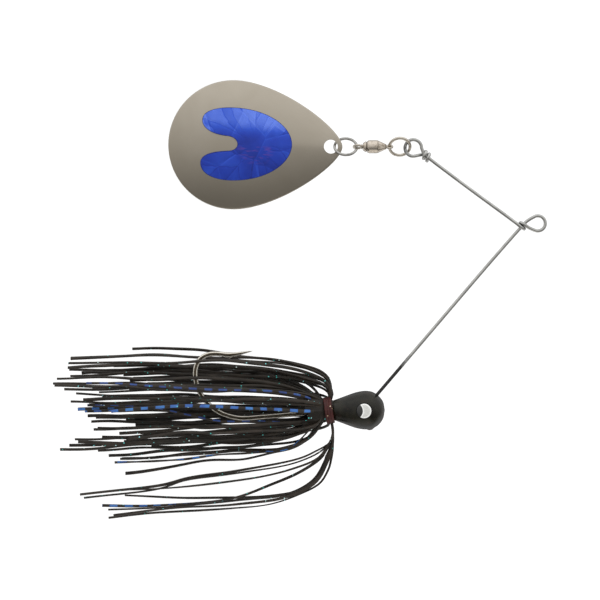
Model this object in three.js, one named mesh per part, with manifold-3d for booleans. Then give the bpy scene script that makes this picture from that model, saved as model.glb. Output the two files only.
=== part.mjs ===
// A spinnerbait: one bent stainless wire with a lead head, a hook and a silicone skirt on its lower arm,
// and two rings and a ball-bearing swivel that carry a cupped blade on its upper arm.
// Millimetres. Every size below is for the lure as it swims: +X is forwards, +Z is up, and the wire lies in
// the XZ plane. The finished part hangs from its line tie, which is the origin: forwards is turned to +Z.
import * as THREE from "three";
import { mergeVertices } from "three/addons/utils/BufferGeometryUtils.js";
import Module from "manifold-3d";

// Driving dimensions
const WIRE_R = 0.475;
const LINE_TIE_R = 2.15;
const ARM_LOOP = { x: -35.57, z: 21.54, radius: 2.37 };
const COIL_R = 2 * WIRE_R + 0.04;
const CHAIN_Z = 21.9;

const ARM_RING = { x: -39.44, radius: 2.94, wire: 0.44, roll: 38 };
const BLADE_RING = { x: -54.8, radius: 3.18, wire: 0.425, roll: -37 };
const END_EYE = { x: -42.41, radius: 0.87, wire: 0.28, roll: 38 };
const SPIN_EYE = { x: -51.27, radius: 1.15, wire: 0.33, roll: -33 };
const BARREL_R = 1.86;
const BARREL_BORE = 1.2;
const SHAFT_R = 0.36;
const BALL = { count: 6, radius: 0.28, orbit: 0.8, x: -48.3 };

const BLADE = { x: -87, halfLength: 18.6, halfWidth: 18.45, tip: -55.8, thickness: 0.55 };
const BLADE_CUP = { depth: 3.6, power: 2.2, rimY: 0.25 };
const BLADE_LIFT = 1.2;
const BLADE_HOLE = { x: -59.13, radius: 1.94 };
const INLAY = { thickness: 0.2, gap: 0.08 };

const HEAD_Z = -53.35;
const HEAD_REAR = -58.5;
const COLLAR = { radius: 1.5, end: -62.6, rib: 1.66 };
const EYE = { x: -49.74, radius: 2.2, seat: 4.75 };
const HOOK_R = 0.65;
const HOOK_EYE = { x: -54, z: -53.5, radius: 1.9 };
const CAST_GAP = 0.1;

const BAND = { x: -59.75, inner: 3.36, outer: 3.85, width: 2.2, lean: 10 };
const STRAND_R = 0.34;
const STRAND_STEPS = 14;
const STRAND_REACH = { shortest: 63, spread: 16 };
const GOLDEN = 0.618;
const OUTER_STRANDS = { count: 18, root: 2.75, side: 15, height: 14, drop: 15 };
const INNER_STRANDS = { count: 12, root: 2, side: 10.2, height: 7.5, drop: 2.5 };

const radians = THREE.MathUtils.degToRad;
const at = (x, z, y = 0) => new THREE.Vector3(x, y, z);

// A curve that takes the same number of steps from each point to the next, so close points make a fine bend.
class Route extends THREE.CatmullRomCurve3 {
  getPointAt(u, target) {
    return this.getPoint(u, target);
  }

  getTangentAt(u, target) {
    return this.getTangent(u, target);
  }
}

function roundSection(radius, sides) {
  const corner = (k) => {
    const turn = (2 * Math.PI * (k + 0.5)) / sides;
    return new THREE.Vector2(radius * Math.cos(turn), radius * Math.sin(turn));
  };
  return new THREE.Shape(Array.from({ length: sides }, (_, k) => corner(k)));
}

function tube(route, radius, steps, sides = 8) {
  const sweep = { steps, bevelEnabled: false, extrudePath: route };
  return new THREE.ExtrudeGeometry(roundSection(radius, sides), sweep);
}

// A tube whose radius changes: a turned bar with one ring for each step, bent along the route.
function taperedTube(route, radiusAt, steps, sides = 8) {
  const rings = Array.from({ length: steps + 1 }, (_, k) => new THREE.Vector2(radiusAt(k / steps), k));
  const outline = [new THREE.Vector2(0, 0), ...rings, new THREE.Vector2(0, steps)];
  const bar = new THREE.LatheGeometry(outline, sides);
  const { normals, binormals } = route.computeFrenetFrames(steps, false);
  const position = bar.attributes.position;
  for (let v = 0; v < position.count; v++) {
    const k = Math.round(position.getY(v));
    const point = route.getPointAt(k / steps);
    point.addScaledVector(normals[k], position.getX(v));
    point.addScaledVector(binormals[k], -position.getZ(v));
    position.setXYZ(v, point.x, point.y, point.z);
  }
  bar.computeVertexNormals();
  return bar;
}

// A body turned about the X axis. The profile holds [x, radius] pairs in order of rising x on its outside.
function turned(profile, segments, z = 0) {
  const points = profile.map(([x, radius]) => new THREE.Vector2(radius, x));
  return new THREE.LatheGeometry(points, segments).rotateZ(-Math.PI / 2).translate(0, 0, z);
}

// A round ring in the XZ plane, rolled about the X axis. A positive roll brings its upper half to -Y.
function ring({ x, radius, wire, roll }, z, segments = 24) {
  const torus = new THREE.TorusGeometry(radius, wire, 8, segments);
  return torus.rotateX(Math.PI / 2 + radians(roll)).translate(x, 0, z);
}

// Booleans
const wasm = await Module();
wasm.setup();

function toSolid(geometry) {
  const bare = geometry.clone();
  bare.deleteAttribute("normal");
  bare.deleteAttribute("uv");
  const merged = mergeVertices(bare, 1e-4);
  const vertProperties = new Float32Array(merged.attributes.position.array);
  const triVerts = new Uint32Array(merged.index.array);
  return new wasm.Manifold(new wasm.Mesh({ numProp: 3, vertProperties, triVerts }));
}

function toGeometry(solid) {
  const mesh = solid.getMesh();
  const geometry = new THREE.BufferGeometry();
  geometry.setAttribute("position", new THREE.BufferAttribute(mesh.vertProperties, 3));
  geometry.setIndex(new THREE.BufferAttribute(mesh.triVerts, 1));
  geometry.computeVertexNormals();
  return geometry;
}

const join = (first, ...rest) =>
  toGeometry(rest.reduce((solid, piece) => solid.add(toSolid(piece)), toSolid(first)));
const cut = (first, ...tools) =>
  toGeometry(tools.reduce((solid, tool) => solid.subtract(toSolid(tool)), toSolid(first)));
const overlap = (first, second) => toGeometry(toSolid(first).intersect(toSolid(second)));

// Points on an arc in the XZ plane, from one angle to another in degrees, with 0 at +X and 90 at +Z.
function arc(centre, radius, from, to, count) {
  const point = (k) => {
    const angle = radians(from + ((to - from) * k) / (count - 1));
    return at(centre.x + radius * Math.cos(angle), centre.z + radius * Math.sin(angle));
  };
  return Array.from({ length: count }, (_, k) => point(k));
}

// Points of a close coil round an axis in the XZ plane. The angle is 0 in front (-Y) and 90 on the
// side away from "up", and the coil moves by pitch along the axis in each turn.
function coil(start, axis, up, pitch, from, to, count) {
  const point = (k) => {
    const angle = from + ((to - from) * k) / (count - 1);
    const side = -COIL_R * Math.sin(radians(angle));
    const depth = -COIL_R * Math.cos(radians(angle));
    const along = (pitch * angle) / 360;
    return at(start.x + along * axis.x + side * up.x, start.z + along * axis.z + side * up.z, depth);
  };
  return Array.from({ length: count }, (_, k) => point(k));
}

// The wire, from its cut end by the arm loop to its end inside the head.
function wireRoute() {
  const armAxis = { x: 0.797, z: -0.604 };
  const armUp = { x: 0.604, z: 0.797 };
  const armCoil = coil({ x: -32.3, z: 19.55 }, armAxis, armUp, 1.2, 470, -190, 20);
  const armLoop = arc(ARM_LOOP, ARM_LOOP.radius, 290, 0, 16);
  const arm = [at(-32.85, 20.55), at(-32.6, 19.85), at(-31.9, 19.22), at(-30.6, 18.2), at(-20, 10.2, -0.3)];
  const tieAxis = { x: -0.665, z: -0.747 };
  const tieUp = { x: -0.747, z: 0.665 };
  const armEnd = [at(-8.5, 1.7, -0.85), at(-6.2, -0.03, -0.97)];
  const tieCoil = coil({ x: -4.78, z: -1.12 }, tieAxis, tieUp, -1.1, 0, 375, 12);
  const tieLoop = [at(-2.6, -1.25, -0.55), ...arc({ x: 0, z: 0 }, LINE_TIE_R, -112, 125, 13)];
  const lowerArm = [at(-2.5, 1.05), at(-3.45, 0.33), at(-4.1, -0.36), at(-4.78, -1.12), at(-5.5, -1.9)];
  const lowerRun = [at(-6.8, -3.35), at(-15.4, -13.2), at(-34.6, -35.7), at(-45.9, -48.9)];
  const inHead = [at(-48.9, -52.3, -0.35), at(-50.5, -53.3, -1.2), at(-52.6, -53.45, -1.5)];
  const throughHook = [at(-53.7, -53.45, -1.3), at(-54, -53.45, -0.6), at(-54, -53.45, 1.5)];
  return new Route([
    ...armCoil, ...armLoop, ...arm, ...armEnd, ...tieCoil, ...tieLoop,
    ...lowerArm, ...lowerRun, ...inHead, ...throughHook,
  ]);
}

const wire = wireRoute();
const wireSteps = 2 * (wire.points.length - 1);

// The hook lies in the XZ plane. Its eye is cast inside the head.
function hookRoute() {
  const eye = arc(HOOK_EYE, HOOK_EYE.radius, 140, -150, 12);
  const shank = [at(-56.9, -53.8), at(-58.5, -53.6), at(-62, -53.85), at(-70, -54.65), at(-78.8, -55.5)];
  const bend = [at(-85.1, -55.6), at(-89.8, -54.3), at(-93.4, -52.1), at(-96.4, -48.3), at(-97.7, -44.2)];
  const point = [at(-97.6, -41), at(-96.3, -38.7), at(-93.8, -37.4), at(-90.6, -37.35), at(-81.4, -36.45)];
  return new Route([...eye, ...shank, ...bend, ...point]);
}

const hook = hookRoute();
const hookSteps = 2 * (hook.points.length - 1);

function hookGeometry() {
  const lastSteps = 3 / hookSteps;
  const radiusAt = (u) => HOOK_R * Math.min(1, 0.06 + Math.sqrt((1 - u) / lastSteps));
  const barbRoute = new Route([at(-84.6, -36.95), at(-86.6, -37.6), at(-88.5, -38.7)]);
  const barb = taperedTube(barbRoute, (u) => 0.42 * (1 - u) + 0.06, 4, 6);
  return join(taperedTube(hook, radiusAt, hookSteps), barb);
}

// The cast head: a bulb with a collar for the skirt, cast round the wire, the hook's eye and two eye seats.
function headGeometry() {
  const bulb = new THREE.SplineCurve([
    new THREE.Vector2(HEAD_REAR, 2.78), new THREE.Vector2(-56.2, 3.6), new THREE.Vector2(-54, 4.42),
    new THREE.Vector2(-51.8, 5.15), new THREE.Vector2(-49.3, 5.57), new THREE.Vector2(-47.2, 5.3),
    new THREE.Vector2(-45.4, 4.1), new THREE.Vector2(-44.2, 2.4), new THREE.Vector2(-43.7, 0),
  ]).getPoints(16);
  const collar = [
    [COLLAR.end, 0], [COLLAR.end, COLLAR.radius - 0.3], [COLLAR.end + 0.3, COLLAR.rib],
    [COLLAR.end + 0.8, COLLAR.radius], [HEAD_REAR, COLLAR.radius],
  ];
  const outside = bulb.map((point) => [point.x, Math.max(point.y, 0)]);
  const body = turned([...collar, ...outside], 28, HEAD_Z);
  const gate = new THREE.CylinderGeometry(1.1, 0.9, 1.6, 10).translate(-48.1, 0, 0);
  gate.rotateX(Math.PI / 2).translate(0, 0, HEAD_Z - 5.25);
  const seats = [-1, 1].map((side) => {
    const seat = new THREE.CylinderGeometry(EYE.radius + CAST_GAP, EYE.radius + CAST_GAP, 3, 24);
    return seat.translate(EYE.x, side * (EYE.seat + 1.5 - CAST_GAP), HEAD_Z);
  });
  const wireHole = tube(wire, WIRE_R + CAST_GAP, wireSteps);
  const hookHole = taperedTube(hook, () => HOOK_R + CAST_GAP, hookSteps);
  const ends = [[wire.points.at(-1), WIRE_R], [hook.points[0], HOOK_R]].map(([point, radius]) => {
    const room = new THREE.SphereGeometry(radius + 2 * CAST_GAP, 10, 8);
    return room.translate(point.x, point.y, point.z);
  });
  return cut(join(body, gate), wireHole, hookHole, ...ends, ...seats);
}

function eyeGeometry(side) {
  const profile = [[0, 0], [EYE.radius, 0], [EYE.radius, 0.3], [1.5, 0.52], [0.8, 0.64], [0, 0.68]];
  const dome = new THREE.LatheGeometry(profile.map(([radius, y]) => new THREE.Vector2(radius, y)), 24);
  if (side < 0) dome.rotateX(Math.PI);
  return dome.translate(EYE.x, side * EYE.seat, HEAD_Z);
}

function bandGeometry() {
  const { inner, outer, width, lean } = BAND;
  const half = width / 2;
  const profile = [
    [-half, inner], [-half, outer - 0.3], [-half + 0.3, outer], [half - 0.3, outer],
    [half, outer - 0.3], [half, inner], [-half, inner],
  ];
  return turned(profile, 28).rotateY(-radians(lean)).translate(BAND.x, 0, HEAD_Z - 0.1);
}

// Skirt strands leave the band side by side, flare out within a few millimetres and trail backwards.
// An angle of 0 is the top of the skirt. The lowest strands hang lowest.
function strandGeometry({ count, root, side, height, drop }, k) {
  const turn = (2 * Math.PI * (k + 0.5)) / count;
  const tall = height + drop * Math.max(0, -Math.cos(turn)) ** 3;
  const reach = STRAND_REACH.shortest + STRAND_REACH.spread * ((k * GOLDEN + count / 20) % 1);
  const point = (x, share, offset = root * (1 - share)) => {
    const across = (offset + share * side) * Math.sin(turn);
    const upward = (offset + share * tall) * Math.cos(turn);
    return at(x, HEAD_Z + upward, across);
  };
  const end = BAND.x - reach;
  const stations = [
    point(HEAD_REAR - 0.3, 0), point(-61.7, 0), point(-63.1, 0.2), point(-65.3, 0.55), point(-70, 0.82),
    point(-80, 0.98), point((end - 80) / 2, 1), point(end, 0.92),
  ];
  return tube(new Route(stations), STRAND_R, STRAND_STEPS, 6);
}

// The swivel turns about the line z = CHAIN_Z. The barrel is a shell with a cap at its open end.
function barrelGeometry() {
  return turned([
    [-46.9, 0], [-46.9, BARREL_BORE], [-48.65, BARREL_BORE], [-48.65, 1.55], [-47.6, BARREL_R],
    [-46, BARREL_R], [-44.6, 1.25], [-43.65, 0.6], [-43.65, 0.3], [-44.5, 0.3], [-44.5, 0],
  ], 20, CHAIN_Z);
}

function capGeometry() {
  const bore = SHAFT_R + 0.1;
  return turned([
    [-49.7, bore], [-49.7, 0.95], [-49.25, 1.38], [-48.75, 1.52], [-48.75, bore], [-49.7, bore],
  ], 20, CHAIN_Z);
}

// An eye of round wire that lies along the X axis, rolled about it.
function eyeOfWire({ x, radius, wire: thickness, roll }) {
  const torus = new THREE.TorusGeometry(radius, thickness, 8, 20);
  return torus.rotateX(radians(roll)).translate(x, 0, CHAIN_Z);
}

function endEyeGeometry() {
  const stem = turned([[-44.4, 0], [-44.4, 0.2], [-43.3, 0.2], [-43.3, 0]], 8, CHAIN_Z);
  return join(eyeOfWire(END_EYE), stem);
}

function spindleGeometry() {
  const shaft = turned([
    [-50.35, 0], [-50.35, 0.42], [-49.85, 0.8], [-49.8, SHAFT_R], [-47.95, SHAFT_R], [-47.95, 1.05],
    [-47.3, 1.05], [-47.3, 0],
  ], 16, CHAIN_Z);
  return join(shaft, eyeOfWire(SPIN_EYE));
}

function ballGeometry(k) {
  const turn = (2 * Math.PI * k) / BALL.count;
  const ball = new THREE.IcosahedronGeometry(BALL.radius, 1);
  return ball.translate(BALL.x, BALL.orbit * Math.sin(turn), CHAIN_Z + BALL.orbit * Math.cos(turn));
}

// The blade's outline is half an ellipse, and a curve on each side from the widest place to the tip.
function bladeOutline() {
  const { x, halfLength, halfWidth, tip } = BLADE;
  const outline = new THREE.Shape();
  outline.absellipse(x, 0, halfLength, halfWidth, Math.PI / 2, 1.5 * Math.PI);
  outline.bezierCurveTo(x + 13, -halfWidth, tip, -5, tip, 0);
  outline.bezierCurveTo(tip, 5, x + 13, halfWidth, x, halfWidth);
  return outline;
}

// The distance from the blade's middle to its outline at each angle about that middle.
function outlineReach() {
  const polar = (p) => ({ angle: Math.atan2(p.y, p.x - BLADE.x), reach: Math.hypot(p.x - BLADE.x, p.y) });
  const edge = bladeOutline().getPoints(14).map(polar);
  edge.sort((a, b) => a.angle - b.angle);
  const fullTurn = 2 * Math.PI;
  return (angle) => {
    const next = Math.max(edge.findIndex((corner) => corner.angle >= angle), 0);
    const after = edge[next];
    const before = edge.at(next - 1);
    const span = (after.angle - before.angle + fullTurn) % fullTurn || 1;
    const share = ((angle - before.angle + fullTurn) % fullTurn) / span;
    return before.reach + (after.reach - before.reach) * share;
  };
}

// The blade hangs with its round end a little higher than its hole.
function hung(geometry) {
  geometry.translate(-BLADE_HOLE.x, 0, 0).rotateY(radians(BLADE_LIFT));
  return geometry.translate(BLADE_HOLE.x, 0, CHAIN_Z);
}

// A cupped plate: a turned disc stretched to the blade's outline. Its convex side faces -Y.
function cuppedPlate(thickness, forward) {
  const reachAt = outlineReach();
  const shares = [0, 0.25, 0.45, 0.62, 0.77, 0.89, 1];
  const profile = [
    ...shares.map((share) => new THREE.Vector2(share, 0)),
    ...shares.toReversed().map((share) => new THREE.Vector2(share, 1)),
  ];
  const plate = new THREE.LatheGeometry(profile, 56);
  const position = plate.attributes.position;
  for (let v = 0; v < position.count; v++) {
    const share = Math.hypot(position.getX(v), position.getZ(v));
    const angle = Math.atan2(position.getZ(v), position.getX(v));
    const radius = share * reachAt(angle);
    const middle = BLADE_CUP.rimY - forward - BLADE_CUP.depth * (1 - share ** BLADE_CUP.power);
    const y = middle + thickness * (position.getY(v) - 0.5);
    position.setXYZ(v, BLADE.x + radius * Math.cos(angle), y, radius * Math.sin(angle));
  }
  plate.computeVertexNormals();
  return plate;
}

function bladeGeometry() {
  const { x, radius } = BLADE_HOLE;
  const drill = new THREE.CylinderGeometry(radius, radius, 8, 24).translate(x, 0, 0);
  return hung(cut(cuppedPlate(BLADE.thickness, 0), drill));
}

// The foil inlay is a horseshoe, open backwards, that lies on the blade's convex side.
function inlayGeometry() {
  const patch = new THREE.Shape();
  patch.moveTo(-70.2, 0.2);
  patch.bezierCurveTo(-70.4, 5.6, -77.5, 10.4, -87.6, 10.4);
  patch.bezierCurveTo(-91.5, 10.4, -95.9, 9.6, -95.9, 6.7);
  patch.bezierCurveTo(-95.9, 4.1, -92.6, 2.5, -88.6, 2.2);
  patch.bezierCurveTo(-85, 1.9, -84.6, -1.9, -88.4, -2);
  patch.bezierCurveTo(-92.6, -2.2, -96.2, -3, -96.2, -5.5);
  patch.bezierCurveTo(-96.2, -8.9, -91.8, -10.4, -87.3, -10.4);
  patch.bezierCurveTo(-77.5, -10.4, -70.2, -5.4, -70.2, 0.2);
  const prism = new THREE.ExtrudeGeometry(patch, { depth: 12, bevelEnabled: false, curveSegments: 7 });
  prism.rotateX(Math.PI / 2).translate(0, 4, 0);
  const forward = (BLADE.thickness + INLAY.thickness) / 2 + INLAY.gap;
  return hung(overlap(cuppedPlate(INLAY.thickness, forward), prism));
}

// Materials
const finish = (color, roughness, metalness) => ({ color, roughness, metalness });
const STAINLESS = finish(0x9a9a96, 0.32, 1);
const NICKEL = finish(0xb9b3a6, 0.24, 1);
const BLACK_NICKEL = finish(0x8f887b, 0.22, 1);
const HOOK_STEEL = finish(0x4c4438, 0.3, 1);
const BLACK_PAINT = finish(0x1a1a17, 0.28, 0);
const PEARL = finish(0xd9d8d2, 0.25, 0);
const RED_RUBBER = finish(0x5a1e22, 0.6, 0);
const BLUE_FOIL = finish(0x3346c8, 0.3, 0.4);
const DARK_SILICONE = finish(0x26231d, 0.45, 0);

const spinnerbait = new THREE.Group();

// Forwards turns to +Z, and up turns to -X.
function add(name, geometry, look) {
  const mesh = new THREE.Mesh(geometry.rotateY(-Math.PI / 2), new THREE.MeshStandardMaterial(look));
  mesh.name = name;
  spinnerbait.add(mesh);
}

add("wire_form", tube(wire, WIRE_R, wireSteps), STAINLESS);
add("head_casting", headGeometry(), BLACK_PAINT);
add("hook", hookGeometry(), HOOK_STEEL);
add("right_eye", eyeGeometry(-1), PEARL);
add("left_eye", eyeGeometry(1), PEARL);
add("skirt_band", bandGeometry(), RED_RUBBER);
add("arm_ring", ring(ARM_RING, CHAIN_Z), NICKEL);
add("swivel_barrel", barrelGeometry(), NICKEL);
add("swivel_cap", capGeometry(), NICKEL);
add("swivel_end_eye", endEyeGeometry(), NICKEL);
add("swivel_spindle", spindleGeometry(), NICKEL);
add("blade_ring", ring(BLADE_RING, CHAIN_Z), NICKEL);
add("blade", bladeGeometry(), BLACK_NICKEL);
add("blade_inlay", inlayGeometry(), BLUE_FOIL);
for (let k = 0; k < BALL.count; k++) add(`thrust_ball_${k + 1}`, ballGeometry(k), STAINLESS);

let strandNumber = 0;
for (const group of [OUTER_STRANDS, INNER_STRANDS]) {
  for (let k = 0; k < group.count; k++) {
    strandNumber += 1;
    add(`skirt_strand_${String(strandNumber).padStart(2, "0")}`, strandGeometry(group, k), DARK_SILICONE);
  }
}

export default spinnerbait;
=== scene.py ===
import math
import random

import bmesh
import bpy
import numpy as np
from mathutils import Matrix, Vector


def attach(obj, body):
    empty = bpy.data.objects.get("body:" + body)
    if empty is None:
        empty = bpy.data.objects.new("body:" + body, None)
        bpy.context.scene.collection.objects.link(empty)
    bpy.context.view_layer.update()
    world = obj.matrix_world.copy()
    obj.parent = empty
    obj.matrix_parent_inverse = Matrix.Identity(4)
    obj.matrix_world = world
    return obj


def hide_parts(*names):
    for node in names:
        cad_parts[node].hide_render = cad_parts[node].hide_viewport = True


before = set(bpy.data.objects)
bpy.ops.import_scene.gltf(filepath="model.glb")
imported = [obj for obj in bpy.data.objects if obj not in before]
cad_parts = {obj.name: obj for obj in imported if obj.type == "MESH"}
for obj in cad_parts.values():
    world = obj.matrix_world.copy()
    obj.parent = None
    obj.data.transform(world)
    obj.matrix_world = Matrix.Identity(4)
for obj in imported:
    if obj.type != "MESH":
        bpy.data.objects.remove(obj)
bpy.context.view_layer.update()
scene = bpy.context.scene

MM = 0.001
HANGING = (0, -math.pi / 2, 0)

# The main sizes and places.
WIRE_R = 0.475
CHAIN_Z = 21.9
HEAD_Z = -53.35
COLLAR_R = 1.5
BAND = {"x": -59.75, "z": HEAD_Z - 0.1, "inner": 3.36, "outer": 3.85, "half": 1.1, "lean": 10, "turns": 3}
# The eyes: where they are, their radius, how far out their seats are cut and how far out their flat backs
# are. The pupils are set back.
EYE = {"x": -49.74, "radius": 2.2, "seat": 4.65, "face": 4.7}
PUPIL = {"x": -52.55, "radius": 2.42}
# Every random draw starts from one of these.
SEEDS = {"band": 5, "skirt": 11, "tabs": 3}
# Edges of a cut piece that turn by more degrees than this stay sharp.
CUT_SHARP = 35


def hanging(point):
    """A point of the swimming attitude, in the frame."""
    x, y, z = point
    return Vector((-z, y, x))


# -------- Camera: square to the wire's plane, with forwards to the right of the picture --------
VIEW_CENTRE = Vector((-67.94, 0, -21.89)) * MM
VIEW_WIDTH = 171.43 * MM
LENS = 135
SENSOR = 36


def make_camera():
    data = bpy.data.cameras.new("camera")
    data.lens = LENS
    data.sensor_width = SENSOR
    data.clip_start = 0.01
    data.clip_end = 20
    camera = bpy.data.objects.new("camera", data)
    camera.location = hanging(VIEW_CENTRE - Vector((0, VIEW_WIDTH * LENS / SENSOR, 0)))
    camera.rotation_euler = (math.pi / 2, -math.pi / 2, 0)
    scene.collection.objects.link(camera)
    scene.camera = camera


# -------- Curves --------
def route(points, steps):
    """A centripetal Catmull-Rom curve through points, with the same number of steps from each to the next."""
    p = np.array(points, float)
    p = np.vstack([2 * p[0] - p[1], p, 2 * p[-1] - p[-2]])
    out = []
    for k in range(1, len(p) - 2):
        p0, p1, p2, p3 = p[k - 1 : k + 3]
        d0, d1, d2 = (max(np.linalg.norm(b - a), 1e-4) ** 0.5 for a, b in ((p0, p1), (p1, p2), (p2, p3)))
        t1 = ((p1 - p0) / d0 - (p2 - p0) / (d0 + d1) + (p2 - p1) / d1) * d1
        t2 = ((p2 - p1) / d1 - (p3 - p1) / (d1 + d2) + (p3 - p2) / d2) * d1
        for u in np.arange(steps) / steps:
            c2 = -3 * p1 + 3 * p2 - 2 * t1 - t2
            c3 = 2 * p1 - 2 * p2 + t1 + t2
            out.append(p1 + t1 * u + c2 * u**2 + c3 * u**3)
    out.append(p[-2])
    return np.array(out)


def lengths(points):
    """How far along a line each of its points is."""
    return np.concatenate([[0], np.cumsum(np.linalg.norm(np.diff(points, axis=0), axis=1))])


def even(points, spacing):
    """The same line with points an even distance apart."""
    length = lengths(points)
    at = np.linspace(0, length[-1], max(int(length[-1] / spacing), 2) + 1)
    return np.column_stack([np.interp(at, length, points[:, k]) for k in range(3)])


def circle(count):
    """Angles an even step apart, all the way round."""
    return 2 * np.pi * np.arange(count) / count


def arc(centre, radius, start, end, count):
    """Points on an arc in the XZ plane, in degrees from +X towards +Z."""
    angle = np.radians(np.linspace(start, end, count))
    x, z = centre[0] + radius * np.cos(angle), centre[1] + radius * np.sin(angle)
    return [(a, 0, b) for a, b in zip(x, z)]


def coil(start, axis, up, radius, pitch, begin, end, count):
    """A close coil about an axis in the XZ plane. 0 degrees is in front, and 90 is away from up."""
    points = []
    for angle in np.linspace(begin, end, count):
        side, depth = -radius * math.sin(math.radians(angle)), -radius * math.cos(math.radians(angle))
        along = pitch * angle / 360
        x = start[0] + along * axis[0] + side * up[0]
        z = start[1] + along * axis[1] + side * up[1]
        points.append((x, depth, z))
    return points


def carried_normals(points, start):
    """Two unit normals at each point, carried along the line without twisting."""
    tangent = np.gradient(points, axis=0)
    tangent /= np.linalg.norm(tangent, axis=1)[:, None]
    normal = np.zeros_like(points)
    n = np.array(start, float)
    for k, t in enumerate(tangent):
        n = n - (n @ t) * t
        n /= np.linalg.norm(n)
        normal[k] = n
    return normal, np.cross(tangent, normal)


# -------- Shapes --------
# Where the section of a rod starts: towards the camera, and off the axes a little.
TOWARDS = (0, -1, 0.01)


def smooth(data, sharp):
    """Shades a mesh smooth, but for the edges that turn by more than sharp degrees."""
    data.polygons.foreach_set("use_smooth", [True] * len(data.polygons))
    data.set_sharp_from_angle(angle=math.radians(sharp))


class Shape:
    """Closed bodies gathered into one mesh. UV holds the millimetres along a body and the share around it."""

    def __init__(self):
        self.points, self.faces, self.uvs, self.looks = [], [], [], []

    def add_face(self, corners, uvs, look):
        self.faces.append(corners)
        self.uvs.append(uvs)
        self.looks.append(look)

    def grid(self, rows, along, look=0, closed=False):
        """A tube of rings of points. Each end is closed with a fan, or the last ring joins the first."""
        rows = np.array(rows, float)
        count, sides, _ = rows.shape
        base = len(self.points)
        self.points += list(rows.reshape(-1, 3))
        for i in range(count if closed else count - 1):
            i2 = (i + 1) % count
            u0, u1 = along[i], along[i2] if i2 else along[i] + (along[1] - along[0])
            near, far = base + i * sides, base + i2 * sides
            for j in range(sides):
                j2 = (j + 1) % sides
                v0, v1 = j / sides, (j + 1) / sides
                uvs = [(u0, v0), (u0, v1), (u1, v1), (u1, v0)]
                self.add_face([near + j, near + j2, far + j2, far + j], uvs, look)
        if closed:
            return
        for i, turn in ((0, -1), (count - 1, 1)):
            centre = len(self.points)
            ring = base + i * sides
            self.points.append(rows[i].mean(axis=0))
            for j in range(sides):
                corners = [ring + j, ring + (j + 1) % sides, centre][::turn]
                self.add_face(corners, [(along[i], j / sides)] * 3, look)

    def sweep(self, points, radius, sides, thin=1, twist=0, power=1, look=0, start=TOWARDS, closed=False):
        """A rod along points. Its section is thin times as thick as wide, and squarer for a lower power."""
        points = np.array(points, float)
        normal, binormal = carried_normals(points, start)
        radius = np.broadcast_to(radius, len(points))
        twist = np.broadcast_to(twist, len(points))
        angle = circle(sides)
        wide = np.sign(np.cos(angle)) * np.abs(np.cos(angle)) ** power
        deep = thin * np.sign(np.sin(angle)) * np.abs(np.sin(angle)) ** power
        rows = []
        for p, n, b, r, w in zip(points, normal, binormal, radius, twist):
            side = n * math.cos(w) + b * math.sin(w)
            face = b * math.cos(w) - n * math.sin(w)
            rows.append(p + r * (np.outer(wide, face) + np.outer(deep, side)))
        self.grid(rows, lengths(points), look, closed)

    def lathe(self, profile, sides, centre=(0, 0)):
        """A body turned about the line through centre along X, from (x, radius) pairs."""
        profile = [(x, max(r, 1e-3)) for x, r in profile]
        rows = []
        for x, r in profile:
            y, z = centre[0] + r * np.cos(circle(sides)), centre[1] + r * np.sin(circle(sides))
            rows.append(np.column_stack([np.full(sides, x), y, z]))
        self.grid(rows, lengths(profile))

    def move(self, place):
        """Puts each point where place says."""
        self.points = [np.array(place(*p)) for p in self.points]

    def mesh(self, name, sharp=40):
        data = bpy.data.meshes.new(name)
        data.from_pydata([tuple(p * MM) for p in self.points], [], self.faces)
        layer = data.uv_layers.new(name="Along")
        layer.data.foreach_set("uv", np.array([uv for face in self.uvs for uv in face], np.float32).ravel())
        data.polygons.foreach_set("material_index", self.looks)
        data.update()
        data.validate()
        smooth(data, sharp)
        return data

    def object(self, name, sharp=40):
        return new_object(self.mesh(name, sharp))


def new_object(data):
    obj = bpy.data.objects.new(data.name, data)
    obj.rotation_euler = HANGING
    scene.collection.objects.link(obj)
    return obj


def outward(obj):
    """Turns every face of a closed mesh outwards."""
    work = bmesh.new()
    work.from_mesh(obj.data)
    bmesh.ops.remove_doubles(work, verts=work.verts, dist=1e-7)
    bmesh.ops.recalc_face_normals(work, faces=work.faces)
    work.to_mesh(obj.data)
    work.free()
    return obj


def boolean(obj, tool, operation):
    """Cuts obj with tool, or keeps what they share, and removes the tool."""
    step = obj.modifiers.new("step", "BOOLEAN")
    step.object, step.operation, step.solver = tool, operation, "EXACT"
    bpy.context.view_layer.update()
    data = bpy.data.meshes.new_from_object(obj.evaluated_get(bpy.context.evaluated_depsgraph_get()))
    data.name = obj.data.name
    obj.modifiers.clear()
    obj.data = data
    bpy.data.objects.remove(tool)


def piece(obj, body, slot, looks, *nodes):
    """Hands a finished piece to the frame: its looks, its body and the CAD nodes it stands for."""
    for look in looks:
        obj.data.materials.append(LOOKS[look])
    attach(obj, body)
    if nodes:
        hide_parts(*nodes)


# -------- Nodes --------
class Value:
    """One output of a node. Values add, subtract and multiply as numbers do."""

    def __init__(self, nodes, socket):
        self.nodes, self.socket = nodes, socket

    def __add__(self, other):
        return self.nodes.math("ADD", self, other)

    def __sub__(self, other):
        return self.nodes.math("SUBTRACT", self, other)

    def __rsub__(self, other):
        return self.nodes.math("SUBTRACT", other, self)

    def __mul__(self, other):
        return self.nodes.math("MULTIPLY", self, other)

    def __abs__(self):
        return self.nodes.math("ABSOLUTE", self)

    def span(self, low, high, start=0.0, end=1.0, smooth=False):
        """Goes from start to end as this value goes from low to high, and stays there beyond them."""
        kind = "SMOOTHSTEP" if smooth else "LINEAR"
        inputs = {"Value": self, "From Min": low, "From Max": high, "To Min": start, "To Max": end}
        return self.nodes.out("ShaderNodeMapRange", inputs, interpolation_type=kind)


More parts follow.
